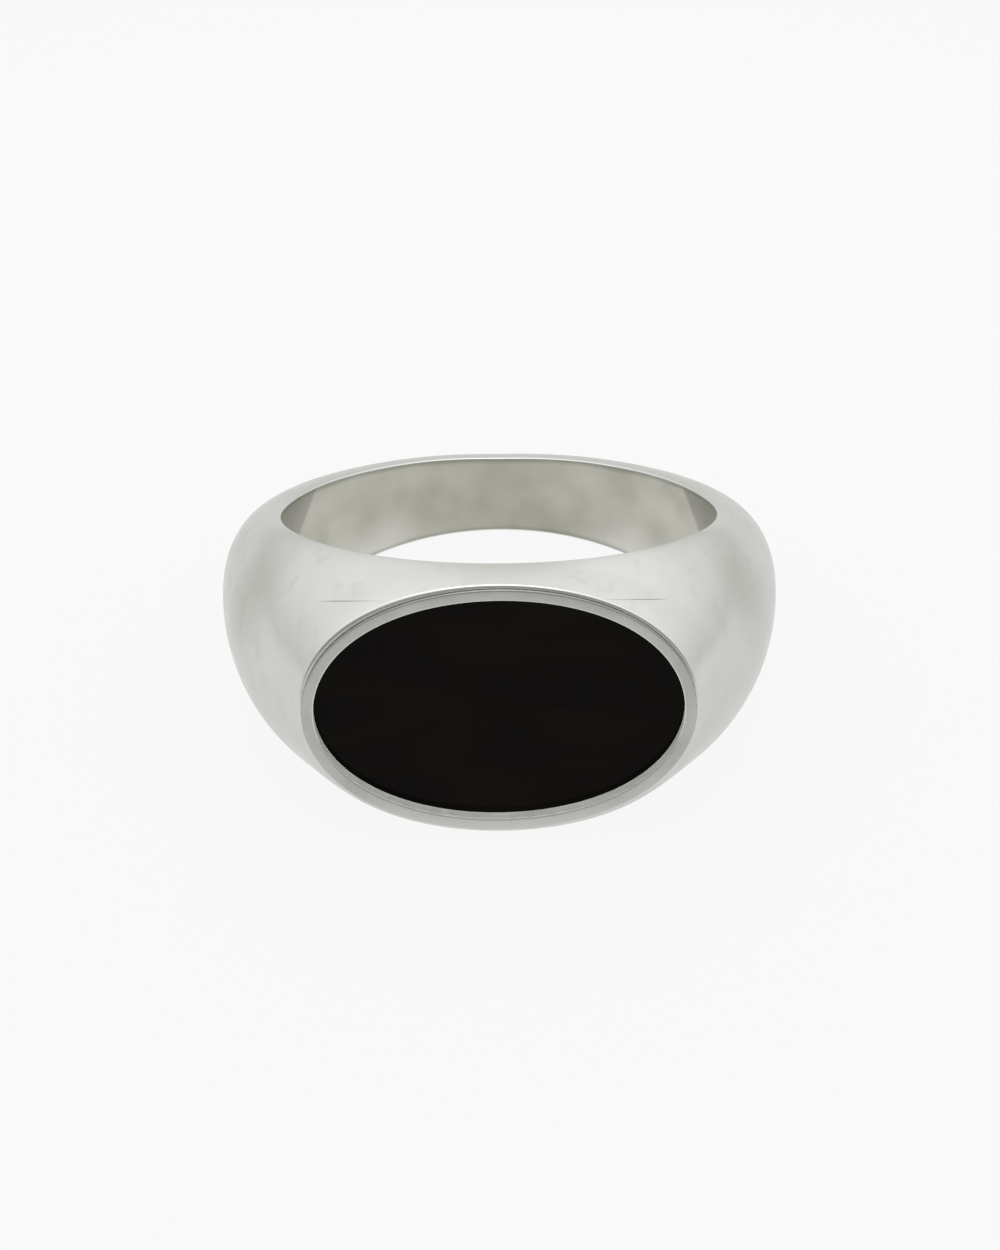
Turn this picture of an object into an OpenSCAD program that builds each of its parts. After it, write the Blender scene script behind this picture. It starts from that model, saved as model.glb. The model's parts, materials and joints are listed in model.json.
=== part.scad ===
// Oval signet ring with an inlaid stone.
//
// Every piece is drawn upright about the finger hole: its axis is Z, its middle is the origin, and
// the bezel looks towards -Y. laid() then tips all the pieces together, so that the ring lies on
// its side on a level surface and touches it under the head and under the back of the band.

/* [Finger hole] */
// Diameter of the finger hole
bore_d = 19; // [15:0.1:23]

/* [Band] */
// Height of the band at the back, along the finger
back_h = 3.56; // [2.6:0.02:5]
// Thickness of the band at the back
back_t = 1.8; // [1.2:0.1:3]
// Thickness of the band at the sides, at the crown of its dome
side_t = 2.6; // [1.8:0.1:3.6]
// Fullness of the dome beside the bezel, where 0.5 is a true ellipse and less is squarer
head_dome = 0.66; // [0.45:0.01:0.8]
// Fullness of the dome at the back of the band
back_dome = 0.45; // [0.4:0.01:0.8]

/* [Bezel] */
// Width of the rim, across the finger
rim_w = 16.88; // [13:0.02:21]
// Height of the rim, along the finger
rim_h = 11.44; // [9:0.02:14]
// Width of the flat land of the rim
rim_land = 0.5; // [0.35:0.05:0.8]
// How far the rim stands proud of the head at its top and bottom; its two ends are flush
rim_proud = 0.25; // [0.1:0.01:0.4]
// Width of the head's edge outside the rim, at the top and bottom
edge_w = 0.14; // [0.08:0.01:0.4]
// Width of the head's edge outside the rim, at its two ends
end_w = 0.06; // [0.02:0.01:0.4]
// Width of the ledge inside the rim that the stone sits on
ledge_w = 0.6; // [0.3:0.1:1]
// Height of that ledge above the bottom of the seat
ledge_h = 0.25; // [0.15:0.05:0.5]
// Metal left between the bottom of the seat and the finger hole
seat_floor = 0.55; // [0.4:0.05:1.2]

/* [Stone] */
// Thickness of the stone
stone_t = 0.9; // [0.6:0.1:1.6]
// Depth of the stone's face below the face of the rim
stone_recess = 0.6; // [0.1:0.05:0.9]
// Size of the bevel round the edge of the stone's face
stone_bevel = 0.08; // [0.04:0.01:0.2]

/* [Fits] */
// Gap between the rim and the wall of its seat, which the solder fills
solder_gap = 0.03; // [0.02:0.01:0.1]
// Gap between the edge of the stone and the inside of the rim
stone_gap = 0.03; // [0.02:0.01:0.1]
// Gap between the edge of the cement and the ledge round it
cement_gap = 0.03; // [0.02:0.01:0.1]

/* [Hidden] */

silver = "#D3D4CF";
rim_silver = "#B0B1AC";
onyx = "#141210";
cement = "#4A4742";

deg = 180 / PI;
bore_r = bore_d / 2;

// Distances from the finger's axis, going out through the head
seat_y = bore_r + seat_floor;
stone_y = seat_y + ledge_h;
face_y = stone_y + stone_t + stone_recess;

// Openings inside the rim, as [width, height]
rim_size = [rim_w, rim_h];
well_size = rim_size - 2 * rim_land * [1, 1];
ledge_size = well_size - 2 * ledge_w * [1, 1];

// Half-sizes of the oval in which the dome of the head meets the plane of the bezel's face
oval_x = rim_w / 2 + end_w;
oval_z = rim_h / 2 + edge_w;

// Half-heights of the band: its two sides are flat cuts that run straight from head to back
side_draft = 0.03;
head_half = oval_z + side_draft;
back_half = back_h / 2;

// The head's front is crowned about a line across the finger, so that only its ends meet the rim's face
crown_r = (rim_h * rim_h / 4 + rim_proud * rim_proud) / (2 * rim_proud);

// Steps round the finger, steps up each half of the dome, the share of the height that stays flat
// on its crown, and how far the rough body runs past its cuts
round_steps = 80;
dome_steps = 12;
crown_flat = 0.02;
spare = 0.3;

// Half-height of the band at angle a round the finger, counted from the bezel
function half_height(a) = (head_half + back_half) / 2 + (head_half - back_half) / 2 * cos(a);

// Fullness of the dome at angle a
function dome_power(a) = head_dome + (back_dome - head_dome) * (1 - cos(a)) / 2;

// Cubic curve from y0 to y1 for t from 0 to 1, with slopes m0 and m1 at its ends
function cubic(t, y0, m0, y1, m1) =
    (2 * t ^ 3 - 3 * t ^ 2 + 1) * y0 + (t ^ 3 - 2 * t ^ 2 + t) * m0
    + (3 * t ^ 2 - 2 * t ^ 3) * y1 + (t ^ 3 - t ^ 2) * m1;

// Angle of the oval's end, the dome's thickness there, and how fast the thickness falls past it
oval_a = atan(oval_x / face_y);
end_t = face_y / cos(oval_a) - bore_r;
end_slope = face_y * sin(oval_a) / cos(oval_a) ^ 2
    - end_t * dome_power(oval_a) * (oval_z / half_height(oval_a)) ^ 2
    * 2 * face_y / (oval_x * cos(oval_a) ^ 2);

// Thickness of the dome's crown where it would pass through the oval at angle a, inside its ends
function head_thickness(a) =
    let (z2 = oval_z ^ 2 * max(0, 1 - (face_y * tan(a) / oval_x) ^ 2))
    (face_y / cos(a) - bore_r) / (1 - z2 / half_height(a) ^ 2) ^ dome_power(a);

// Thickness of the dome's crown at angle a, from 0 at the bezel to 180 at the back
function thickness(a) =
    a < oval_a ? head_thickness(a)
    : a < 90 ? cubic((a - oval_a) / (90 - oval_a), end_t, end_slope * (90 - oval_a) / deg, side_t, 0)
    : cubic((a - 90) / 90, side_t, 0, back_t, 0);

// Outer limit of the rough body at angle a: just past the bezel's face, or past its own crown
function reach(a) = (a < oval_a ? face_y / cos(a) : bore_r + thickness(a)) + spare;

// Share of the half-height at which the dome meets that limit, or the narrow flat on its crown
function top_share(a) =
    let (out = (reach(a) - bore_r) / thickness(a))
    out < 1 ? max(crown_flat, sqrt(1 - out ^ (1 / dome_power(a)))) : crown_flat;

// Upper half of the cross-section at angle a from the finger hole out to the crown, as
// [distance from the axis, height]
function upper_section(a) =
    let (h = half_height(a), w = thickness(a), p = dome_power(a), end = asin(top_share(a)))
    concat(
        [[bore_r - spare, h]],
        [for (i = [1 : dome_steps])
            let (t = sin(90 - (90 - end) * i / dome_steps))
            [min(bore_r + w * (1 - t * t) ^ p, reach(a)), h * t]]
    );

// Whole cross-section at angle a: the upper half, then the same points mirrored, from the crown in
function section(a) =
    let (upper = upper_section(a), n = len(upper))
    concat(upper, [for (i = [1 : n]) [upper[n - i].x, -upper[n - i].y]]);

// Tip of the ring when it lies on its side: a level line under the head touches the back's dome
rest_tilt = min([for (i = [0 : 90])
    atan((head_half - back_half * sin(i)) / (2 * bore_r + back_t * cos(i) ^ (2 * back_dome)))]);

module laid() {
    rotate([-rest_tilt, 0, 0])
        children();
}

// Oval slab that looks towards -Y, from the distance y out to y + t, with an optional bevel in front
module oval(size, y, t, bevel = 0) {
    translate([0, -y, 0])
        rotate([90, 0, 0])
            scale([size.x / size.y, 1, 1]) {
                cylinder(d = size.y, h = t - bevel, $fn = 144);
                if (bevel > 0)
                    translate([0, 0, t - bevel])
                        cylinder(d1 = size.y, d2 = size.y - 2 * bevel, h = bevel, $fn = 144);
            }
}

// Domed band and head in one, before its hole and seat are cut
module rough_body() {
    angles = [for (i = [0 : round_steps - 1]) 360 * i / round_steps];
    n = 2 * dome_steps + 2;
    points = [for (a = angles) for (p = section(a > 180 ? 360 - a : a))
        [p.x * sin(a), -p.x * cos(a), p.y]];
    faces = [for (i = [0 : round_steps - 1]) for (j = [0 : n - 1])
        let (i2 = (i + 1) % round_steps, j2 = (j + 1) % n)
        [i * n + j, i2 * n + j, i2 * n + j2, i * n + j2]];
    polyhedron(points, faces);
}

// Cast ring: the shank and head, with a round finger hole and an oval seat for the rim
module ring_body() {
    color(silver)
        laid()
            difference() {
                intersection() {
                    rough_body();
                    translate([0, crown_r - face_y, 0])
                        rotate([0, 90, 0])
                            cylinder(r = crown_r, h = 3 * bore_d, center = true, $fn = 720);
                }
                cylinder(d = bore_d, h = 4 * head_half, center = true, $fn = 180);
                oval(rim_size + 2 * solder_gap * [1, 1], seat_y, face_y);
            }
}

// Oval collar soldered into the head: its front is the rim, and a ledge inside carries the stone
module bezel_collet() {
    color(rim_silver)
        laid()
            difference() {
                oval(rim_size, seat_y, face_y - seat_y);
                oval(well_size, stone_y, face_y);
                oval(ledge_size, 0, face_y);
            }
}

// Flat oval stone, bevelled round its face, that drops into the rim and sits on its ledge
module onyx_tablet() {
    color(onyx)
        laid()
            oval(well_size - 2 * stone_gap * [1, 1], stone_y, stone_t, stone_bevel);
}

// Cured cement that fills the well inside the ledge and holds the stone by its back
module cement_bed() {
    color(cement)
        laid()
            oval(ledge_size - 2 * cement_gap * [1, 1], seat_y, ledge_h);
}

ring_body();
bezel_collet();
onyx_tablet();
cement_bed();
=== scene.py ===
import json
import math

import bmesh
import bpy
import numpy as np
from mathutils import Euler, Matrix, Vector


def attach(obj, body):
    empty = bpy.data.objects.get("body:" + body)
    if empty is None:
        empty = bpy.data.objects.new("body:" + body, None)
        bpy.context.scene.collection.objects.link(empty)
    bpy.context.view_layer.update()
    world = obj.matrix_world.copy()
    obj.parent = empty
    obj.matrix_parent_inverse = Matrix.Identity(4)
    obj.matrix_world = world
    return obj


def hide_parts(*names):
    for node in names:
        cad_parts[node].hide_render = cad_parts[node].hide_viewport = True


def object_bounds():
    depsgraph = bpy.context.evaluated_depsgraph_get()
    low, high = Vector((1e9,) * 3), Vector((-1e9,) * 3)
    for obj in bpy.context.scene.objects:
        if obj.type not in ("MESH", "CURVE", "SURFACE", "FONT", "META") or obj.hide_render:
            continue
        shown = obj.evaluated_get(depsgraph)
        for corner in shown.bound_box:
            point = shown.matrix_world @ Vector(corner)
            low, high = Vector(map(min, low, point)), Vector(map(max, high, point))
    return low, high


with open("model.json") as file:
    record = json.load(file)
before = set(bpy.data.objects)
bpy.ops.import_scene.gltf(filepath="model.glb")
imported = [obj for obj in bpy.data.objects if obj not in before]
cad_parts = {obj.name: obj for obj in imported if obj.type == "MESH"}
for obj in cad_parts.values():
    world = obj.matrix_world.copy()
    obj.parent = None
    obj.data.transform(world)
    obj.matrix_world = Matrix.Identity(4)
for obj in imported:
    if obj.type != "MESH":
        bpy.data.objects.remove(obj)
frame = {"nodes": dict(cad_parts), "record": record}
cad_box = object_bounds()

# ---------------------------------------------------------------------------------------------
# Camera: a long lens set 400 mm off, looking down on the ring at 38 degrees. The ring lies a
# little above the middle of the frame, so the lens is aimed 1.6 mm below the finger hole. The
# camera stands a third of a degree to the right and is rolled by half a degree.
# ---------------------------------------------------------------------------------------------
camera_far = 0.4
camera_up = math.radians(38.3)
aim_drop = math.radians(0.2296)
camera_side = math.radians(0.33)
camera_roll = math.radians(0.54)

camera = bpy.data.objects.new("studio_camera", bpy.data.cameras.new("studio_camera"))
camera.data.lens = 263.0
camera.data.sensor_width = 36.0
camera.data.clip_start = 0.01
camera.data.clip_end = 20.0
camera.data.shift_x = 0.0002
aim = Euler((math.pi / 2 - camera_up - aim_drop, 0, camera_side)).to_matrix()
camera.rotation_euler = (aim @ Matrix.Rotation(-camera_roll, 3, "Z")).to_euler()
camera.location = (camera_far * math.cos(camera_up) * math.sin(camera_side),
                   -camera_far * math.cos(camera_up) * math.cos(camera_side),
                   camera_far * math.sin(camera_up))
bpy.context.scene.collection.objects.link(camera)
bpy.context.scene.camera = camera
bpy.context.scene.view_settings.view_transform = "Standard"

# ---------------------------------------------------------------------------------------------
# Ring body: the band and head of the signet ring in one piece of cast sterling silver, filed and
# polished. The head is cut flat on top and bottom, swells into the shoulders and narrows to a
# slim band at the back. An oval seat is sunk into its front for the bezel.
# ---------------------------------------------------------------------------------------------
edge_w = 0.14          # head's edge outside the rim, at the top and bottom
end_w = 0.06           # head's edge outside the rim, at its two ends
rim_proud = 0.19       # how far the rim stands proud of the head above the stone; its ends are flush
low_proud = 0.12       # and below the stone, where the head is filed fuller
solder_line = 0.008    # what shows of the solder above and below the rim; a quarter of it at its ends
top_swell = 0.06       # swell of the head's top and bottom between the finger hole and the rim
swell_end = math.radians(48)     # angle from the bezel at which that swell has died away
side_hollow = 0.28     # how far the band's two flat cuts are filed hollow at its sides
hollow_at = math.radians(104)    # angle from the bezel where that is deepest
hollow_spread = math.radians(30)
back_full = 0.05       # how far the band is left full on top towards its back
full_at = math.radians(163)      # angle from the bezel where that is most
full_spread = math.radians(15)
head_dome = 0.66       # fullness of the dome beside the bezel, where 0.5 is a true ellipse
back_dome = 0.45       # fullness of the dome at the back
side_square = 0.1      # how much squarer the dome is at the sides
square_at = math.radians(110)    # angle from the bezel where that is most
square_spread = math.radians(28)
bezel_turn = math.radians(0.8)   # the bezel is soldered in a shade off square
oval_full = 0.0125     # share by which its oval is let out between its ends and its top and bottom
oval_reach = 1.6       # where that has died away outside the rim, in rim sizes
oval_fade = 0.55       # and the stretch over which it does
oval_deep = 1.8        # depth in front of the finger hole over which it comes in
hole_edge = 0.07       # rounding of the finger hole's edge
head_edge = 0.12       # rounding of the head's edge round the rim

record = frame["record"]
finger_hole = record["mounts"][0]
bore_r = finger_hole["dims"]["r_mm"]
tip = math.atan2(finger_hole["axis"][1], finger_hole["axis"][2])


def upright(node):
    """Corners of a CAD node in mm, with the finger hole's axis turned back to Z."""
    co = np.array([v.co for v in frame["nodes"][node].data.vertices]) * 1000
    y = co[:, 1] * math.cos(tip) - co[:, 2] * math.sin(tip)
    z = co[:, 1] * math.sin(tip) + co[:, 2] * math.cos(tip)
    return np.column_stack([co[:, 0], y, z])


def laid(points):
    """Upright points in mm, tipped to lie as the ring rests, in metres."""
    p = np.asarray(points, float) / 1000
    y = p[:, 1] * math.cos(tip) + p[:, 2] * math.sin(tip)
    z = p[:, 2] * math.cos(tip) - p[:, 1] * math.sin(tip)
    return np.column_stack([p[:, 0], y, z])


band = upright("ring_body")
rim = upright("bezel_collet")
head_half = band[:, 2].max()
side_t = band[:, 0].max() - bore_r
back_t = band[:, 1].max() - bore_r
back_half = band[(band[:, 1] > 0) & (abs(band[:, 0]) < 0.4), 2].max()
rim_x = rim[:, 0].max()
rim_z = rim[:, 2].max()
face_y = -rim[:, 1].min()
seat_y = -rim[:, 1].max()
oval_x = rim_x + end_w
oval_z = rim_z + edge_w
oval_a = math.atan(oval_x / face_y)


def fullness(a):
    """What the band is left full by at angle a, towards its back."""
    return back_full * np.exp(-((np.abs(a) - full_at) / full_spread) ** 2)


def half_height(a):
    """Half the band's height at angle a: nearly straight from head to back, hollow at the sides."""
    straight = (head_half + back_half) / 2 + (head_half - back_half) / 2 * np.cos(a)
    hollow = side_hollow * np.exp(-((np.abs(a) - hollow_at) / hollow_spread) ** 2)
    return straight - hollow + fullness(a)


def dome_power(a):
    """Fullness of the dome at angle a, a little squarer at the sides of the band."""
    square = side_square * np.exp(-((np.abs(a) - square_at) / square_spread) ** 2)
    return head_dome + (back_dome - head_dome) * (1 - np.cos(a)) / 2 - square


end_t = face_y / math.cos(oval_a) - bore_r
end_slope = face_y * math.sin(oval_a) / math.cos(oval_a) ** 2 - (
    end_t * dome_power(oval_a) * (oval_z / half_height(oval_a)) ** 2
    * 2 * face_y / (oval_x * math.cos(oval_a) ** 2))


def cubic(t, y0, m0, y1, m1):
    """Cubic curve from y0 to y1 for t from 0 to 1, with slopes m0 and m1 at its ends."""
    return ((2 * t ** 3 - 3 * t ** 2 + 1) * y0 + (t ** 3 - 2 * t ** 2 + t) * m0
            + (3 * t ** 2 - 2 * t ** 3) * y1 + (t ** 3 - t ** 2) * m1)


def thickness(a):
    """Thickness of the dome's crown at angle a from the bezel."""
    a = np.abs(a)
    inner = np.minimum(a, oval_a)
    z2 = oval_z ** 2 * np.maximum(0, 1 - (face_y * np.tan(inner) / oval_x) ** 2)
    head = (face_y / np.cos(inner) - bore_r) / (1 - z2 / half_height(inner) ** 2) ** dome_power(inner)
    quarter = math.pi / 2 - oval_a
    shoulder = cubic((a - oval_a) / quarter, end_t, end_slope * quarter, side_t, 0)
    back = cubic((a - math.pi / 2) / (math.pi / 2), side_t, 0, back_t, 0)
    return np.where(a < oval_a, head, np.where(a < math.pi / 2, shoulder, back))


def swell(a, rho):
    """Gentle rise of the head's top, from the finger hole to the rim."""
    q = np.clip((rho - bore_r) / (face_y / np.cos(np.minimum(a, 1.0)) - bore_r), 0, 1)
    return top_swell * 4 * q * (1 - q) * np.clip(1 - (a / swell_end) ** 2, 0, 1) ** 2


def dome(a, up):
    """Point of the outer dome at angle a, up from its crown at 0 to the finger hole at 90 degrees."""
    rho = bore_r + thickness(a) * np.cos(up) ** (2 * dome_power(a))
    z = half_height(a) * np.sin(up) + swell(a, rho)
    return np.stack([rho * np.sin(a), -rho * np.cos(a), z], -1)


def outside(p):
    """Above zero where a point is outside the dome."""
    a = np.arctan2(p[..., 0], -p[..., 1])
    rho = np.hypot(p[..., 0], p[..., 1])
    z = p[..., 2] - swell(a, rho)
    share = np.maximum(0, 1 - (z / half_height(a)) ** 2) ** dome_power(a)
    return rho - bore_r - thickness(a) * share


def crossing(place, low, high):
    """Where place(t) passes out of the dome between low, inside, and high, outside."""
    for _ in range(50):
        middle = (low + high) / 2
        out = outside(place(middle)) > 0
        low, high = np.where(out, low, middle), np.where(out, middle, high)
    return (low + high) / 2


def front(z):
    """Depth of the head's front edge at height z: flush at the rim's ends, lower above and below."""
    share = np.clip(1 - np.abs(z) / rim_z, 0, 1)
    return rim_proud * (1 - share ** 2.5) - face_y


# The head's edge over the oval: on each plane square to the oval, the corner of dome and front,
# then edge_out, where the rounding leaves the dome, and edge_in, where it meets the seat's wall.
oval_steps = 84
nose_steps = 116
dome_rows = 56
turn = np.linspace(0, math.pi / 2, oval_steps + 1)
oval = np.stack([oval_x * np.sin(turn), 0 * turn, oval_z * np.cos(turn)], -1)
out_dir = np.stack([np.sin(turn) / oval_x, 0 * turn, np.cos(turn) / oval_z], -1)
out_dir /= np.linalg.norm(out_dir, axis=1)[:, None]
back_dir = np.array([0, 1, 0])


def on_front(shift):
    """The oval let out by shift, on the head's front."""
    p = oval + shift[:, None] * out_dir
    p[:, 1] = front(p[:, 2])
    return p


corner = on_front(crossing(on_front, 0 * turn - 0.5, 0 * turn + 0.5))


def around(reach):
    """Where a circle of radius reach about each corner leaves the dome."""
    def place(angle):
        way = np.cos(angle)[:, None] * out_dir + np.sin(angle)[:, None] * back_dir
        return corner + reach * way
    return place(crossing(place, 0 * turn + 2.2, 0 * turn))


edge_out = around(head_edge)
slope = edge_out - around(head_edge * 1.05)
slope /= np.linalg.norm(slope, axis=1)[:, None]
knee = edge_out + slope * ((corner[:, 1] - edge_out[:, 1]) / slope[:, 1])[:, None]
seat_x = rim_x + solder_line / 4
seat_z = rim_z + solder_line
edge_in = np.stack([seat_x * np.sin(turn), front(seat_z * np.cos(turn)), seat_z * np.cos(turn)], -1)

# Columns run from the finger hole's edge to edge_out beside the bezel, and elsewhere to the crown
spread = math.radians(50)
end_a = math.atan2(edge_out[-1, 0], -edge_out[-1, 1])
past = np.linspace(0, 1, nose_steps + 1)[1:]
hole_a = np.concatenate([turn * spread / (math.pi / 2), spread + (math.pi - spread) * past])
crown_a = np.concatenate([np.arctan2(edge_out[:, 0], -edge_out[:, 1]), end_a + (math.pi - end_a) * past])
edge_up = edge_out[:, 2] - swell(crown_a[:oval_steps + 1], np.hypot(edge_out[:, 0], edge_out[:, 1]))
edge_share = np.clip(edge_up / half_height(crown_a[:oval_steps + 1]), 0, 1)
crown_up = np.concatenate([np.arcsin(edge_share), 0 * past])
hole_up = np.arccos((hole_edge / thickness(hole_a)) ** (1 / (2 * dome_power(hole_a))))
run = np.linspace(0, 1, dome_rows + 1)[None, :]
dome_grid = dome(hole_a[:, None] + (crown_a - hole_a)[:, None] * run,
                 hole_up[:, None] + (crown_up - hole_up)[:, None] * run)
dome_grid[:oval_steps + 1, -1] = edge_out

# Rounded edge of the finger hole
soft = np.linspace(0, 1, 8)[:-1, None]
lip_top = dome_grid[:, 0]
share = hole_edge / thickness(hole_a)
power = 1 / dome_power(hole_a)
fall = half_height(hole_a) * power * share ** (power - 1) / (2 * thickness(hole_a) * np.sin(hole_up))
lip_z = lip_top[:, 2] + fall * hole_edge
hole = np.stack([bore_r * np.sin(hole_a), -bore_r * np.cos(hole_a), lip_z], -1)
lip_low = hole - np.array([0, 0, hole_edge])
lip = ((1 - soft) ** 2 * lip_low[:, None] + 2 * soft * (1 - soft) * hole[:, None]
       + soft ** 2 * lip_top[:, None])
upper = np.concatenate([lip, dome_grid], 1)

columns = oval_steps + nose_steps
rows = upper.shape[1]
points = []
faces = []


def keep(point):
    """Adds a point and gives its number."""
    points.append(point)
    return len(points) - 1


# Index grids of the upper and lower halves, all the way round; they share the crown line
loop = list(range(columns + 1)) + list(range(columns - 1, 0, -1))
side = [1] * (columns + 1) + [-1] * (columns - 1)
top_ids = []
low_ids = []
for step, mirror in zip(loop, side):
    column = upper[step] * np.array([mirror, 1, 1])
    ids = [keep(p) for p in column]
    under = [keep(p * np.array([1, 1, -1])) for p in column[:-1]]
    past_oval = step >= oval_steps
    under.append(ids[-1] if past_oval else keep(column[-1] * np.array([1, 1, -1])))
    top_ids.append(ids)
    low_ids.append(under)
count = len(loop)
for k in range(count):
    n = (k + 1) % count
    for r in range(rows - 1):
        faces.append((top_ids[k][r], top_ids[n][r], top_ids[n][r + 1], top_ids[k][r + 1]))
        faces.append((low_ids[k][r], low_ids[k][r + 1], low_ids[n][r + 1], low_ids[n][r]))

# Wall of the finger hole
wall_rows = 40
hole_faces = []
wall = [[low_ids[k][0]] for k in range(count)]
for k, (step, mirror) in enumerate(zip(loop, side)):
    top = upper[step][0] * np.array([mirror, 1, 1])
    for r in range(1, wall_rows):
        wall[k].append(keep(top * np.array([1, 1, 2 * r / wall_rows - 1])))
    wall[k].append(top_ids[k][0])
for k in range(count):
    n = (k + 1) % count
    for r in range(wall_rows):
        hole_faces.append(len(faces))
        faces.append((wall[k][r], wall[n][r], wall[n][r + 1], wall[k][r + 1]))


def askew(p, share=1.0):
    """A point turned with the bezel, by the whole of its small turn or a share of it."""
    a = share * bezel_turn
    x = p[0] * math.cos(a) - p[2] * math.sin(a)
    z = p[0] * math.sin(a) + p[2] * math.cos(a)
    return np.array([x, p[1], z])


# Rounded edge of the head, the seat's wall and its floor, all round the oval
edge_rows = 9
around_oval = []
for q, (flip_x, flip_z) in enumerate(((1, 1), (1, -1), (-1, -1), (-1, 1))):
    steps = range(oval_steps) if q % 2 == 0 else range(oval_steps, 0, -1)
    around_oval += [(j, flip_x, flip_z) for j in steps]
ring_ids = []
for j, flip_x, flip_z in around_oval:
    flip = np.array([flip_x, 1, flip_z])
    grid = top_ids if flip_z > 0 else low_ids
    ids = [grid[j if flip_x > 0 else (count - j) % count][-1]]
    for t in np.linspace(0, 1, edge_rows + 1)[1:]:
        curve = (1 - t) ** 2 * edge_out[j] + 2 * t * (1 - t) * knee[j] + t ** 2 * edge_in[j]
        ids.append(keep(askew(curve * flip, t)))
    deep = -seat_y - edge_in[j, 1]
    for down in (0.02, 0.1 * deep, 0.5 * deep, deep):
        ids.append(keep(askew(np.array([edge_in[j, 0], edge_in[j, 1] + down, edge_in[j, 2]]) * flip)))
    for inward in (0.75, 0.4):
        ids.append(keep(askew(np.array([edge_in[j, 0] * inward, -seat_y, edge_in[j, 2] * inward]) * flip)))
    ring_ids.append(ids)
middle = keep(np.array([0, -seat_y, 0]))
for k in range(len(ring_ids)):
    a, b = ring_ids[k], ring_ids[(k + 1) % len(ring_ids)]
    for r in range(len(a) - 1):
        faces.append((a[r], b[r], b[r + 1], a[r + 1]))
    faces.append((a[-1], b[-1], middle))


def eased(t):
    """The share t, held between 0 and 1, with a gentle start and end."""
    t = np.clip(t, 0, 1)
    return t ** 2 * (3 - 2 * t)


def full_oval(points):
    """Points with the bezel's oval let out in its four quarters, fading into the head."""
    p = np.array(points, float)
    u = p[:, 0] / rim_x
    v = p[:, 2] / rim_z
    reach = np.maximum(np.hypot(u, v), 0.001)
    quarter = (2 * u * v / reach ** 2) ** 2
    near = eased((oval_reach - reach) / oval_fade)
    ahead = eased((-p[:, 1] - bore_r) / oval_deep)
    let_out = 1 + oval_full * quarter * near * ahead
    return p * np.column_stack([let_out, 0 * let_out + 1, let_out])


def piece(name, points, faces, *others):
    """A smooth mesh object from upright points in mm; others list its further materials' faces."""
    mesh = bpy.data.meshes.new(name)
    mesh.from_pydata([tuple(p) for p in laid(full_oval(points))], [], faces)
    for place, chosen in enumerate(others, 1):
        for k in chosen:
            mesh.polygons[k].material_index = place
    work = bmesh.new()
    work.from_mesh(mesh)
    bmesh.ops.recalc_face_normals(work, faces=work.faces)
    work.to_mesh(mesh)
    work.free()
    mesh.shade_smooth()
    made = bpy.data.objects.new(name, mesh)
    bpy.context.scene.collection.objects.link(made)
    return made


# The band is left full on top only, and the head's front is filed fuller below the rim than above it
points = np.array(points)
across = np.arctan2(np.abs(points[:, 0]), -points[:, 1])
lift = -fullness(across) * points[:, 2] / half_height(across)
points[:, 2] += np.where(points[:, 2] < 0, lift, 0)
below = eased((-points[:, 2] - 1.0) / 4.5)
ahead = eased((-points[:, 1] - bore_r - 0.3) / 1.4)
fuller = (rim_proud - low_proud) * below * ahead
fuller[np.hypot(points[:, 0], points[:, 1]) < bore_r + 0.01] = 0
points[:, 1] -= fuller
ring_body = piece("ring_body_silver", points, faces, hole_faces)

# Depth below the finger hole's upper or lower edge, in mm, for the tarnish that gathers there
depth = np.full(len(points), 9.0)
for k in range(count):
    for r, corner_id in enumerate(wall[k]):
        depth[corner_id] = min(r, wall_rows - r) / wall_rows * 2 * points[wall[k][-1], 2]
ring_body.data.attributes.new("edge_depth", "FLOAT", "POINT").data.foreach_set("value", depth)


def linear(hex_colour):
    """An sRGB hex colour as linear red, green, blue and alpha."""
    parts = [int(hex_colour[i:i + 2], 16) / 255 for i in (1, 3, 5)]
    return tuple(c / 12.92 if c <= 0.04045 else ((c + 0.055) / 1.055) ** 2.4 for c in parts) + (1.0,)


def add(tree, kind, settings=(), links=()):
    """Adds a node, sets its inputs or properties, and links its inputs, by name or place."""
    node = tree.nodes.new(kind)
    for name, value in dict(settings).items():
        if isinstance(name, str) and hasattr(node, name):
            setattr(node, name, value)
        else:
            node.inputs[name].default_value = value
    for name, source in dict(links).items():
        tree.links.new(source, node.inputs[name])
    return node


def surface(name, settings):
    """A new material with one Principled shader, and its node tree and shader."""
    material = bpy.data.materials.new(name)
    material.use_nodes = True
    shader = material.node_tree.nodes["Principled BSDF"]
    for key, value in settings.items():
        shader.inputs[key].default_value = value
    return material, material.node_tree, shader


# Polished sterling silver gives the eye a pale, slightly warm grey with soft clouds of tarnish, a duller
# patch on each shoulder darkened with painted shade, a painted reflection of a dark hairline beside the
# rim, buffing lines along the band and a hand-wavy gloss.
cloud_mm = 4.5
mottle_mm = 0.9
wave_mm = 2.6
line_mm = 0.15         # real buffing lines are too fine to show, so these are drawn this coarse
patch_mm = 3.4         # radius of the dull patch, darkened with painted shade
patch_a = math.radians(62)
patch_out = bore_r + 0.7 * side_t
patch_up = 0.46 * half_height(patch_a)
patch = laid([[patch_out * math.sin(patch_a), -patch_out * math.cos(patch_a), patch_up]])[0]
scribe_mm = 0.035      # half the width of a painted reflection, a dark hairline beside the rim, on each side
scribe_lean = tip + math.radians(26.3)         # lean of the level that both hairlines lie in
scribe_low_mm = 0.513                          # how far that level passes below the ring's middle
scribe_left_mm = 0.2                           # how far left of the middle the pair sits
scribe_begin_mm = (4.4, 6.4)                   # from there, where each begins and where it is full
scribe_end_mm = (7.5, 6.9)                     # and where it ends and where it starts to thin

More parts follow.
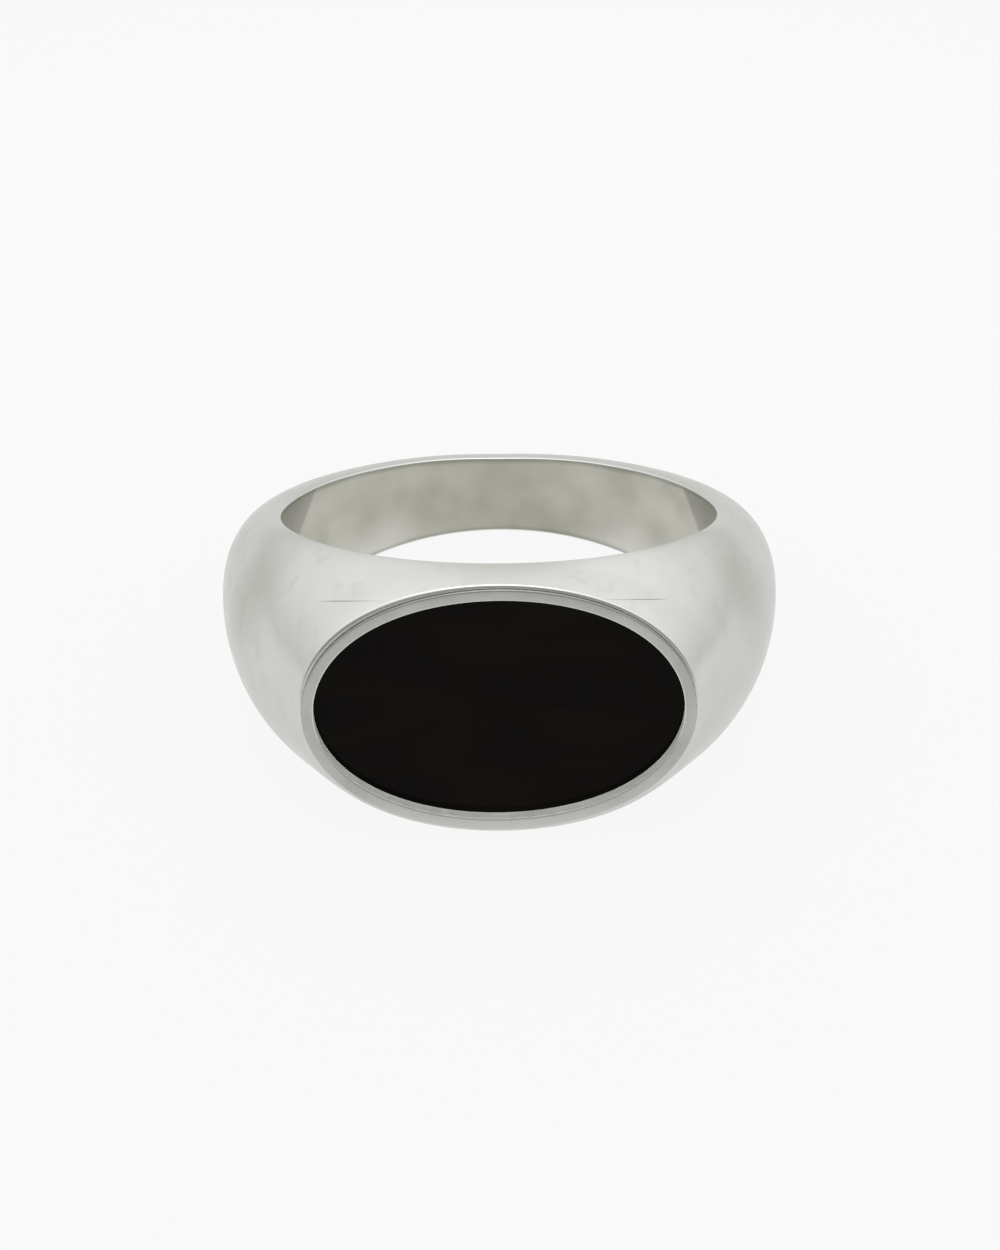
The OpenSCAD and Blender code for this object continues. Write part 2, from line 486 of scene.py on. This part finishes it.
silver, tree, shader = surface("polished_sterling_silver",
                               {"Metallic": 1.0, "Specular Tint": (0.86, 0.86, 0.85, 1)})
place = add(tree, "ShaderNodeTexCoord")
metres = place.outputs["Object"]
cloud = add(tree, "ShaderNodeTexNoise", {"Scale": 1000 / cloud_mm, "Detail": 3.0}, {"Vector": metres})
mottle = add(tree, "ShaderNodeTexNoise", {"Scale": 1000 / mottle_mm, "Detail": 4.0}, {"Vector": metres})
cloudy = add(tree, "ShaderNodeMapRange", {"From Min": 0.35, "From Max": 0.65},
             {"Value": cloud.outputs["Fac"]})
metal = add(tree, "ShaderNodeMix", {"data_type": "RGBA", 6: linear("#D3D3D0"), 7: linear("#CDCDC9")},
            {0: cloudy.outputs["Result"]})
axes = add(tree, "ShaderNodeSeparateXYZ", {}, {0: metres})
both = add(tree, "ShaderNodeMath", {"operation": "ABSOLUTE"}, {0: axes.outputs["X"]})
folded = add(tree, "ShaderNodeCombineXYZ", {}, {"X": both.outputs[0], "Y": axes.outputs["Y"],
                                                "Z": axes.outputs["Z"]})
away = add(tree, "ShaderNodeVectorMath", {"operation": "DISTANCE", 1: tuple(patch)},
           {0: folded.outputs[0]})
frayed = add(tree, "ShaderNodeMath", {"operation": "MULTIPLY_ADD", 1: 0.003, 2: -0.0015},
             {0: cloud.outputs["Fac"]})
ragged = add(tree, "ShaderNodeMath", {"operation": "ADD"}, {0: away.outputs["Value"],
                                                          1: frayed.outputs[0]})
# Painted shade: a darker patch on each shoulder with a ragged rim, which is also made a little rougher
rubbed = add(tree, "ShaderNodeMapRange", {"interpolation_type": "SMOOTHSTEP", "From Min": patch_mm / 1000,
                                          "From Max": 0.0, "To Max": 0.75}, {"Value": ragged.outputs[0]})
worn = add(tree, "ShaderNodeMix", {"data_type": "RGBA", 7: linear("#B8B8B0")},
           {0: rubbed.outputs["Result"], 6: metal.outputs[2]})
spots = add(tree, "ShaderNodeMapRange", {"From Min": 0.56, "From Max": 0.78, "To Max": 0.25},
            {"Value": mottle.outputs["Fac"]})
toned = add(tree, "ShaderNodeMix", {"data_type": "RGBA", 7: linear("#B2B1A6")},
            {0: spots.outputs["Result"], 6: worn.outputs[2]})
# Painted reflection: a dark hairline on each shoulder beside the rim, lying in a leaning level, on the top
# half only
level = add(tree, "ShaderNodeVectorMath",
            {"operation": "DOT_PRODUCT", 1: (0, math.sin(scribe_lean), math.cos(scribe_lean))}, {0: metres})
off = add(tree, "ShaderNodeMath", {"operation": "ADD", 1: scribe_low_mm / 1000},
          {0: level.outputs["Value"]})
near = add(tree, "ShaderNodeMath", {"operation": "ABSOLUTE"}, {0: off.outputs[0]})
thin = add(tree, "ShaderNodeMapRange", {"From Min": 0.0, "From Max": scribe_mm / 1000, "To Min": 1.0,
                                        "To Max": 0.0}, {"Value": near.outputs[0]})
aside = add(tree, "ShaderNodeMath", {"operation": "ADD", 1: scribe_left_mm / 1000},
            {0: axes.outputs["X"]})
outward = add(tree, "ShaderNodeMath", {"operation": "ABSOLUTE"}, {0: aside.outputs[0]})
begins = add(tree, "ShaderNodeMapRange", {"From Min": scribe_begin_mm[0] / 1000,
                                          "From Max": scribe_begin_mm[1] / 1000},
             {"Value": outward.outputs[0]})
ends = add(tree, "ShaderNodeMapRange", {"From Min": scribe_end_mm[0] / 1000,
                                        "From Max": scribe_end_mm[1] / 1000},
           {"Value": outward.outputs[0]})
on_top = add(tree, "ShaderNodeMath", {"operation": "GREATER_THAN", 1: 0.003}, {0: axes.outputs["Z"]})
middle_part = add(tree, "ShaderNodeMath", {"operation": "MULTIPLY"}, {0: begins.outputs[0],
                                                                    1: ends.outputs[0]})
length = add(tree, "ShaderNodeMath", {"operation": "MULTIPLY"}, {0: middle_part.outputs[0],
                                                               1: on_top.outputs[0]})
stroke = add(tree, "ShaderNodeMath", {"operation": "MULTIPLY"}, {0: length.outputs[0],
                                                               1: thin.outputs[0]})
faint = add(tree, "ShaderNodeMath", {"operation": "MULTIPLY", 1: 0.95}, {0: stroke.outputs[0]})
scribed = add(tree, "ShaderNodeMix", {"data_type": "RGBA", 7: linear("#85857C")},
              {0: faint.outputs[0], 6: toned.outputs[2]})
tree.links.new(scribed.outputs[2], shader.inputs["Base Color"])
gloss = add(tree, "ShaderNodeMapRange", {"From Min": 0.3, "From Max": 0.7, "To Min": 0.17, "To Max": 0.27},
            {"Value": mottle.outputs["Fac"]})
dulled = add(tree, "ShaderNodeMath", {"operation": "MULTIPLY_ADD", 1: 0.1}, {0: rubbed.outputs["Result"],
                                                                          2: gloss.outputs["Result"]})
tree.links.new(dulled.outputs[0], shader.inputs["Roughness"])
along = add(tree, "ShaderNodeMapping", {"vector_type": "POINT"}, {"Vector": metres})
along.inputs["Rotation"].default_value = (tip, 0, 0)
along.inputs["Scale"].default_value = (0.08, 0.08, 1.0)
lines = add(tree, "ShaderNodeTexNoise", {"Scale": 1000 / line_mm, "Detail": 2.0},
            {"Vector": along.outputs[0]})
waves = add(tree, "ShaderNodeTexNoise", {"Scale": 1000 / wave_mm, "Detail": 1.0}, {"Vector": metres})
wavy = add(tree, "ShaderNodeBump", {"Strength": 1.0, "Distance": 0.00003},
           {"Height": waves.outputs["Fac"]})
buffed = add(tree, "ShaderNodeBump", {"Strength": 1.0, "Distance": 0.0000004},
             {"Height": lines.outputs["Fac"], "Normal": wavy.outputs[0]})
tree.links.new(buffed.outputs[0], shader.inputs["Normal"])
ring_body.data.materials.append(silver)

# The finger hole is only satin finished, and drawn greyer and warmer than the body: that darker grey is
# painted shade for the inside of the ring. It is painted lighter upwards and paler low on each side,
# blotched with old polish, with tarnish along its edges, a painted reflection darkening its two ends, and
# fine lines round it from the reamer.
blotch_mm = 2.2
ream_mm = 0.16         # real reaming lines are finer; drawn this coarse to show
lighten_mm = (-4.2, 0.6)         # heights between which the wall is painted lighter upwards
pale_up_mm = (-1.4, -3.6)        # heights between which its two sides are painted paler downwards
pale_out_mm = (2.4, 5.6)         # and how far out from the middle they start to, and fully do
grime_mm = (0.36, 0.06)          # depths below an edge where its tarnish ends, and is full
stain_mm = (8.82, 9.04)          # how far out from the middle the painted reflection at each end starts, and is full
stain_slant = 0.6                # how fast that comes in with height

hole_silver, tree, shader = surface("satin_silver_finger_hole", {"Metallic": 1.0})
place = add(tree, "ShaderNodeTexCoord")
metres = place.outputs["Object"]
blotch = add(tree, "ShaderNodeTexNoise", {"Scale": 1000 / blotch_mm, "Detail": 3.0, "Roughness": 0.45},
             {"Vector": metres})
shares = add(tree, "ShaderNodeMapRange", {"From Min": 0.34, "From Max": 0.66},
             {"Value": blotch.outputs["Fac"]})
axes = add(tree, "ShaderNodeSeparateXYZ", {}, {0: metres})
both = add(tree, "ShaderNodeMath", {"operation": "ABSOLUTE"}, {0: axes.outputs["X"]})
# Painted light: the wall drawn lighter upwards
lighter = add(tree, "ShaderNodeMapRange",
              {"interpolation_type": "SMOOTHSTEP", "From Min": lighten_mm[0] / 1000,
               "From Max": lighten_mm[1] / 1000, "To Max": 0.78}, {"Value": axes.outputs["Z"]})
mixed = add(tree, "ShaderNodeMath", {"operation": "MULTIPLY_ADD", 1: 0.4}, {0: shares.outputs["Result"],
                                                                         2: lighter.outputs["Result"]})
# These colours are greyer and darker than the body's: that darker grey is painted shade for the inside of
# the ring
blotched = add(tree, "ShaderNodeMix", {"data_type": "RGBA", 6: linear("#A6A599"), 7: linear("#C5C4BA")},
               {0: mixed.outputs[0]})
# Painted light: the wall drawn paler low on each side
low_down = add(tree, "ShaderNodeMapRange",
               {"interpolation_type": "SMOOTHSTEP", "From Min": pale_up_mm[0] / 1000,
                "From Max": pale_up_mm[1] / 1000}, {"Value": axes.outputs["Z"]})
beside = add(tree, "ShaderNodeMapRange", {"From Min": pale_out_mm[0] / 1000,
                                          "From Max": pale_out_mm[1] / 1000, "To Max": 0.75},
             {"Value": both.outputs[0]})
paler = add(tree, "ShaderNodeMath", {"operation": "MULTIPLY"}, {0: low_down.outputs["Result"],
                                                              1: beside.outputs["Result"]})
toned = add(tree, "ShaderNodeMix", {"data_type": "RGBA", 7: linear("#DADAD4")},
            {0: paler.outputs[0], 6: blotched.outputs[2]})
edge = add(tree, "ShaderNodeAttribute", {"attribute_name": "edge_depth"})
frayed = add(tree, "ShaderNodeMath", {"operation": "MULTIPLY_ADD", 1: 0.2}, {0: blotch.outputs["Fac"],
                                                                          2: edge.outputs["Fac"]})
grime = add(tree, "ShaderNodeMapRange",
            {"interpolation_type": "SMOOTHSTEP", "From Min": grime_mm[0], "From Max": grime_mm[1],
             "To Max": 0.7}, {"Value": frayed.outputs[0]})
lined = add(tree, "ShaderNodeMix", {"data_type": "RGBA", 7: linear("#8E8D82")},
            {0: grime.outputs["Result"], 6: toned.outputs[2]})
# Painted reflection: the darker area at each end of the hole, coming in on a slant with height
slanted = add(tree, "ShaderNodeMath", {"operation": "MULTIPLY_ADD", 1: stain_slant},
              {0: axes.outputs["Z"], 2: both.outputs[0]})
ends = add(tree, "ShaderNodeMapRange",
           {"interpolation_type": "SMOOTHSTEP", "From Min": stain_mm[0] / 1000,
            "From Max": stain_mm[1] / 1000, "To Max": 0.6}, {"Value": slanted.outputs[0]})
stained = add(tree, "ShaderNodeMix", {"data_type": "RGBA", 7: linear("#8C8C84")},
              {0: ends.outputs["Result"], 6: lined.outputs[2]})
tree.links.new(stained.outputs[2], shader.inputs["Base Color"])
gloss = add(tree, "ShaderNodeMapRange", {"From Min": 0.3, "From Max": 0.7, "To Min": 0.42, "To Max": 0.3},
            {"Value": blotch.outputs["Fac"]})
tree.links.new(gloss.outputs["Result"], shader.inputs["Roughness"])
along = add(tree, "ShaderNodeMapping", {"vector_type": "POINT"}, {"Vector": metres})
along.inputs["Rotation"].default_value = (tip, 0, 0)
along.inputs["Scale"].default_value = (0.1, 0.1, 1.0)
lines = add(tree, "ShaderNodeTexNoise", {"Scale": 1000 / ream_mm, "Detail": 2.0},
            {"Vector": along.outputs[0]})
reamed = add(tree, "ShaderNodeBump", {"Strength": 1.0, "Distance": 0.000002},
             {"Height": lines.outputs["Fac"]})
tree.links.new(reamed.outputs[0], shader.inputs["Normal"])
ring_body.data.materials.append(hole_silver)
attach(ring_body, "root")
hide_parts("ring_body")

# ---------------------------------------------------------------------------------------------
# Bezel collet: a separate oval rim of silver with an inner ledge, soldered into the seat. Its
# front land is slightly domed and left satin, and its two edges are broken by hand.
# ---------------------------------------------------------------------------------------------
rim_land = 0.5         # width of the land
ledge_w = 0.6          # width of the ledge under the stone
outer_break = 0.045    # width of the sloped break round the outside
outer_fall = 0.015     # how far that break falls
inner_break = 0.045    # width of the burnished break round the inside
inner_fall = 0.024     # how far it falls
land_fall = 0.008      # fall of the domed land to each edge
stone = upright("onyx_tablet")
ledge_y = -stone[:, 1].max()

flat = rim_land - outer_break - inner_break
land_y = land_fall - face_y
along_break = (0.1, 0.25, 0.5, 0.75, 0.9)
foot_y = land_y + outer_fall

# Its section as inset and depth: up the outside, over the land, down the wall and over the ledge
section = [(0, -seat_y), (0, -seat_y - 0.9), (0, foot_y + 0.03), (0, foot_y + 0.006)]
section += [(outer_break * t, land_y + outer_fall * (1 - t)) for t in along_break]
section += [(outer_break + flat * t, -face_y + land_fall * (2 * t - 1) ** 2)
            for t in np.linspace(0, 1, 13)]
break_from = len(section) - 1
section += [(rim_land - inner_break * (1 - t), land_y + inner_fall * t) for t in along_break]
wall_from = len(section)
section += [(rim_land, land_y + inner_fall + d) for d in (0.004, 0.03, 0.3)]
section.append((rim_land, -ledge_y))
section += [(rim_land + ledge_w, -ledge_y), (rim_land + ledge_w, -seat_y)]
rim_steps = 320
points = []
faces = []
for k in range(rim_steps):
    s = 2 * math.pi * k / rim_steps
    for inset, y in section:
        points.append(askew(((rim_x - inset) * math.sin(s), y, (rim_z - inset) * math.cos(s))))
n = len(section)
break_faces = []
wall_faces = []
for k in range(rim_steps):
    m = (k + 1) % rim_steps
    for r in range(n):
        q = (r + 1) % n
        if break_from <= r < wall_from - 1:
            break_faces.append(len(faces))
        if wall_from - 1 <= r < wall_from + 3:
            wall_faces.append(len(faces))
        faces.append((k * n + r, m * n + r, m * n + q, k * n + q))
bezel_collet = piece("bezel_collet_silver", points, faces, wall_faces, break_faces)

# The land is satin silver, darker than the polished body, with a fine grain and faint dull patches;
# its lower side is brighter with painted light.
grain_mm = 0.1         # real abrasive grain is finer; drawn this coarse to show
dull_mm = 1.8
bright_mm = (-1.2, -3.2)         # heights between which the land is painted brighter downwards

satin_silver, tree, shader = surface("satin_sterling_silver", {"Metallic": 1.0})
place = add(tree, "ShaderNodeTexCoord")
metres = place.outputs["Object"]
dull = add(tree, "ShaderNodeTexNoise", {"Scale": 1000 / dull_mm, "Detail": 3.0}, {"Vector": metres})
grain = add(tree, "ShaderNodeTexNoise", {"Scale": 1000 / grain_mm, "Detail": 2.0}, {"Vector": metres})
patchy = add(tree, "ShaderNodeMapRange", {"From Min": 0.35, "From Max": 0.65},
             {"Value": dull.outputs["Fac"]})
toned = add(tree, "ShaderNodeMix", {"data_type": "RGBA", 6: linear("#AEAFA9"), 7: linear("#B8B9B4")},
            {0: patchy.outputs["Result"]})
axes = add(tree, "ShaderNodeSeparateXYZ", {}, {0: metres})
# Painted light: the land drawn brighter towards its lower side
low = add(tree, "ShaderNodeMapRange",
          {"interpolation_type": "SMOOTHSTEP", "From Min": bright_mm[0] / 1000,
           "From Max": bright_mm[1] / 1000, "To Max": 0.9}, {"Value": axes.outputs["Z"]})
rubbed = add(tree, "ShaderNodeMix", {"data_type": "RGBA", 7: linear("#C4C5C0")},
             {0: low.outputs["Result"], 6: toned.outputs[2]})
tree.links.new(rubbed.outputs[2], shader.inputs["Base Color"])
gloss = add(tree, "ShaderNodeMapRange", {"From Min": 0.3, "From Max": 0.7, "To Min": 0.25, "To Max": 0.35},
            {"Value": grain.outputs["Fac"]})
tree.links.new(gloss.outputs["Result"], shader.inputs["Roughness"])
satin = add(tree, "ShaderNodeBump", {"Strength": 1.0, "Distance": 0.0000005},
            {"Height": grain.outputs["Fac"]})
tree.links.new(satin.outputs[0], shader.inputs["Normal"])
bezel_collet.data.materials.append(satin_silver)

# The wall inside the rim is drawn matt white, pale and dry beside the land, and only 40 percent metal.
skin_mm = 0.5

matt_silver, tree, shader = surface("matt_white_silver", {"Metallic": 0.4})
place = add(tree, "ShaderNodeTexCoord")
skin = add(tree, "ShaderNodeTexNoise", {"Scale": 1000 / skin_mm, "Detail": 3.0},
           {"Vector": place.outputs["Object"]})
patchy = add(tree, "ShaderNodeMapRange", {"From Min": 0.35, "From Max": 0.65},
             {"Value": skin.outputs["Fac"]})
toned = add(tree, "ShaderNodeMix", {"data_type": "RGBA", 6: linear("#D6D7D2"), 7: linear("#DEDEDA")},
            {0: patchy.outputs["Result"]})
tree.links.new(toned.outputs[2], shader.inputs["Base Color"])
gloss = add(tree, "ShaderNodeMapRange", {"From Min": 0.3, "From Max": 0.7, "To Min": 0.6, "To Max": 0.7},
            {"Value": skin.outputs["Fac"]})
tree.links.new(gloss.outputs["Result"], shader.inputs["Roughness"])
rough = add(tree, "ShaderNodeBump", {"Strength": 1.0, "Distance": 0.000001},
            {"Height": skin.outputs["Fac"]})
tree.links.new(rough.outputs[0], shader.inputs["Normal"])
bezel_collet.data.materials.append(matt_silver)

# The break round the inside is burnished as bright as the ring body
bezel_collet.data.materials.append(silver)
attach(bezel_collet, "root")
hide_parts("bezel_collet")

# ---------------------------------------------------------------------------------------------
# Onyx tablet: a flat oval of dyed black onyx, cut, bevelled and polished, that sits on the ledge
# inside the rim a little below its face.
# ---------------------------------------------------------------------------------------------
stone_fit = 0.025      # how far its edge is let out towards the rim, so that no gap shows
bevel = 0.025
stone_x = stone[:, 0].max() + stone_fit
stone_z = stone[:, 2].max() + stone_fit
stone_face = stone[:, 1].min()
stone_back = stone[:, 1].max()
bend = np.linspace(0, math.pi / 2, 6)

# Its profile as inset and depth: from the back up the edge and over the rounded bevel to the face
profile = [(0.15, stone_back), (0, stone_back - 0.02), (0, stone_face + bevel)]
profile += [(bevel * (1 - math.cos(b)), stone_face + bevel * (1 - math.sin(b))) for b in bend[1:]]
profile += [(bevel + 0.02, stone_face)]
stone_steps = 320
points = []
faces = []
n = len(profile)
for k in range(stone_steps):
    s = 2 * math.pi * k / stone_steps
    for inset, y in profile:
        points.append(askew(((stone_x - inset) * math.sin(s), y, (stone_z - inset) * math.cos(s))))
for k in range(stone_steps):
    m = (k + 1) % stone_steps
    for r in range(n - 1):
        faces.append((k * n + r, m * n + r, m * n + r + 1, k * n + r + 1))
faces.append([k * n for k in range(stone_steps)])
faces.append([k * n + n - 1 for k in range(stone_steps)])
onyx_tablet = piece("onyx_tablet_polished", points, faces)

# Dyed onyx is nearly black and looks deep rather than shiny here: a faint warm cast, very soft
# cloudy bands from the layers of the stone, and a slight unevenness left by the polishing lap.
band_mm = 1.6
lap_mm = 0.35

onyx, tree, shader = surface("polished_black_onyx", {"IOR": 1.54, "Specular IOR Level": 0.05})
place = add(tree, "ShaderNodeTexCoord")
metres = place.outputs["Object"]
layered = add(tree, "ShaderNodeMapping", {"vector_type": "POINT"}, {"Vector": metres})
layered.inputs["Rotation"].default_value = (0, 0.3, 0)
layered.inputs["Scale"].default_value = (0.3, 1.0, 1.0)
bands = add(tree, "ShaderNodeTexNoise", {"Scale": 1000 / band_mm, "Detail": 3.0},
            {"Vector": layered.outputs[0]})
lap = add(tree, "ShaderNodeTexNoise", {"Scale": 1000 / lap_mm, "Detail": 2.0}, {"Vector": metres})
banded = add(tree, "ShaderNodeMapRange", {"From Min": 0.35, "From Max": 0.65},
             {"Value": bands.outputs["Fac"]})
toned = add(tree, "ShaderNodeMix", {"data_type": "RGBA", 6: linear("#060302"), 7: linear("#0C0904")},
            {0: banded.outputs["Result"]})
tree.links.new(toned.outputs[2], shader.inputs["Base Color"])
gloss = add(tree, "ShaderNodeMapRange", {"From Min": 0.3, "From Max": 0.7, "To Min": 0.07, "To Max": 0.14},
            {"Value": lap.outputs["Fac"]})
tree.links.new(gloss.outputs["Result"], shader.inputs["Roughness"])
lapped = add(tree, "ShaderNodeBump", {"Strength": 1.0, "Distance": 0.000001},
             {"Height": lap.outputs["Fac"]})
tree.links.new(lapped.outputs[0], shader.inputs["Normal"])
onyx_tablet.data.materials.append(onyx)
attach(onyx_tablet, "root")
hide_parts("onyx_tablet")

# ---------------------------------------------------------------------------------------------
# Cement bed: the thin layer of cured epoxy that fills the space under the stone and grips its
# back. It is poured in wet, so it takes the shape of the well, and it is hidden once set.
# ---------------------------------------------------------------------------------------------
# Cured epoxy filled with stone dust looks dark grey and waxy, speckled by the filler.
speck_mm = 0.3

cement, tree, shader = surface("cured_epoxy_cement", {"IOR": 1.5})
place = add(tree, "ShaderNodeTexCoord")
specks = add(tree, "ShaderNodeTexNoise", {"Scale": 1000 / speck_mm, "Detail": 4.0},
             {"Vector": place.outputs["Object"]})
dusty = add(tree, "ShaderNodeMapRange", {"From Min": 0.4, "From Max": 0.7},
            {"Value": specks.outputs["Fac"]})
toned = add(tree, "ShaderNodeMix", {"data_type": "RGBA", 6: linear("#43403B"), 7: linear("#5A564F")},
            {0: dusty.outputs["Result"]})
tree.links.new(toned.outputs[2], shader.inputs["Base Color"])
gloss = add(tree, "ShaderNodeMapRange", {"To Min": 0.28, "To Max": 0.5},
            {"Value": specks.outputs["Fac"]})
tree.links.new(gloss.outputs["Result"], shader.inputs["Roughness"])
lumps = add(tree, "ShaderNodeBump", {"Strength": 1.0, "Distance": 0.00001},
            {"Height": specks.outputs["Fac"]})
tree.links.new(lumps.outputs[0], shader.inputs["Normal"])
cement_bed = frame["nodes"]["cement_bed"]
cement_bed.data.materials.clear()
cement_bed.data.materials.append(cement)

# ---------------------------------------------------------------------------------------------
# Floor and light: a pale sheet lit from below and above like a product table, paling off into
# a soft white surround, with one large soft box overhead.
# ---------------------------------------------------------------------------------------------
floor_r = 1.2
floor_z = cad_box[0].z
floor_steps = 96
floor_edge = []
for k in range(floor_steps):
    a = 2 * math.pi * k / floor_steps
    floor_edge.append((floor_r * math.cos(a), floor_r * math.sin(a), floor_z))
floor_mesh = bpy.data.meshes.new("pale_floor")
floor_mesh.from_pydata(floor_edge, [], [list(range(floor_steps))])
floor = bpy.data.objects.new("pale_floor", floor_mesh)
bpy.context.scene.collection.objects.link(floor)
paper, tree, shader = surface("pale_backlit_sheet", {"Roughness": 1.0, "Specular IOR Level": 0.0})
shader.inputs["Base Color"].default_value = (0.035, 0.035, 0.035, 1)
place = add(tree, "ShaderNodeTexCoord")
far = add(tree, "ShaderNodeVectorMath", {"operation": "LENGTH"}, {0: place.outputs["Object"]})
fade = add(tree, "ShaderNodeMapRange", {"interpolation_type": "SMOOTHSTEP", "From Min": 0.045,
                                        "From Max": 0.16}, {"Value": far.outputs["Value"]})
glow = add(tree, "ShaderNodeMix",
           {"data_type": "RGBA", 6: (0.903, 0.903, 0.903, 1), 7: (0.72, 0.73, 0.7, 1)},
           {0: fade.outputs["Result"]})
tree.links.new(glow.outputs[2], shader.inputs["Emission Color"])
shader.inputs["Emission Strength"].default_value = 1.0
floor.data.materials.append(paper)

# Surround: bright overhead, softer towards the horizon, a little brighter straight behind the ring
# and dark in front of it, where the camera and the unlit half of the room stand.
world = bpy.data.worlds.new("soft_white_surround")
bpy.context.scene.world = world
world.use_nodes = True
tree = world.node_tree
sky = tree.nodes["Background"]
place = add(tree, "ShaderNodeTexCoord")
axes = add(tree, "ShaderNodeSeparateXYZ", {}, {0: place.outputs["Generated"]})
ramp = add(tree, "ShaderNodeValToRGB", {}, {0: axes.outputs["Z"]})
brightest = 1.8
stops = ((0.0, (0.85, 0.86, 0.84)), (0.12, (0.9, 0.905, 0.895)), (0.37, (1.08, 1.08, 1.08)),
         (0.6, (1.2, 1.2, 1.21)), (0.8, (1.38, 1.38, 1.39)), (1.0, (1.75, 1.75, 1.75)))
elements = ramp.color_ramp.elements
while len(elements) < len(stops):
    elements.new(0.5)
for element, (at, colour) in zip(elements, stops):
    element.position = at
    element.color = (*[c / brightest for c in colour], 1)
ahead = add(tree, "ShaderNodeMapRange", {"interpolation_type": "SMOOTHSTEP", "From Min": -0.45,
                                         "From Max": -0.75, "To Min": 1.0, "To Max": 0.38},
            {"Value": axes.outputs["Y"]})
behind = add(tree, "ShaderNodeMapRange", {"interpolation_type": "SMOOTHSTEP", "From Min": 0.75,
                                          "From Max": 0.95, "To Min": 1.0, "To Max": 1.03},
             {"Value": axes.outputs["Y"]})
sides = add(tree, "ShaderNodeMath", {"operation": "MULTIPLY"}, {0: ahead.outputs["Result"],
                                                              1: behind.outputs["Result"]})
power = add(tree, "ShaderNodeMath", {"operation": "MULTIPLY", 1: brightest}, {0: sides.outputs[0]})
tree.links.new(ramp.outputs["Color"], sky.inputs["Color"])
tree.links.new(power.outputs[0], sky.inputs["Strength"])

box_data = bpy.data.lights.new("overhead_soft_box", "AREA")
box_data.shape = "SQUARE"
box_data.size = 0.2
box_data.energy = 0.1
soft_box = bpy.data.objects.new("overhead_soft_box", box_data)
soft_box.location = (0, 0.02, 0.35)
bpy.context.scene.collection.objects.link(soft_box)
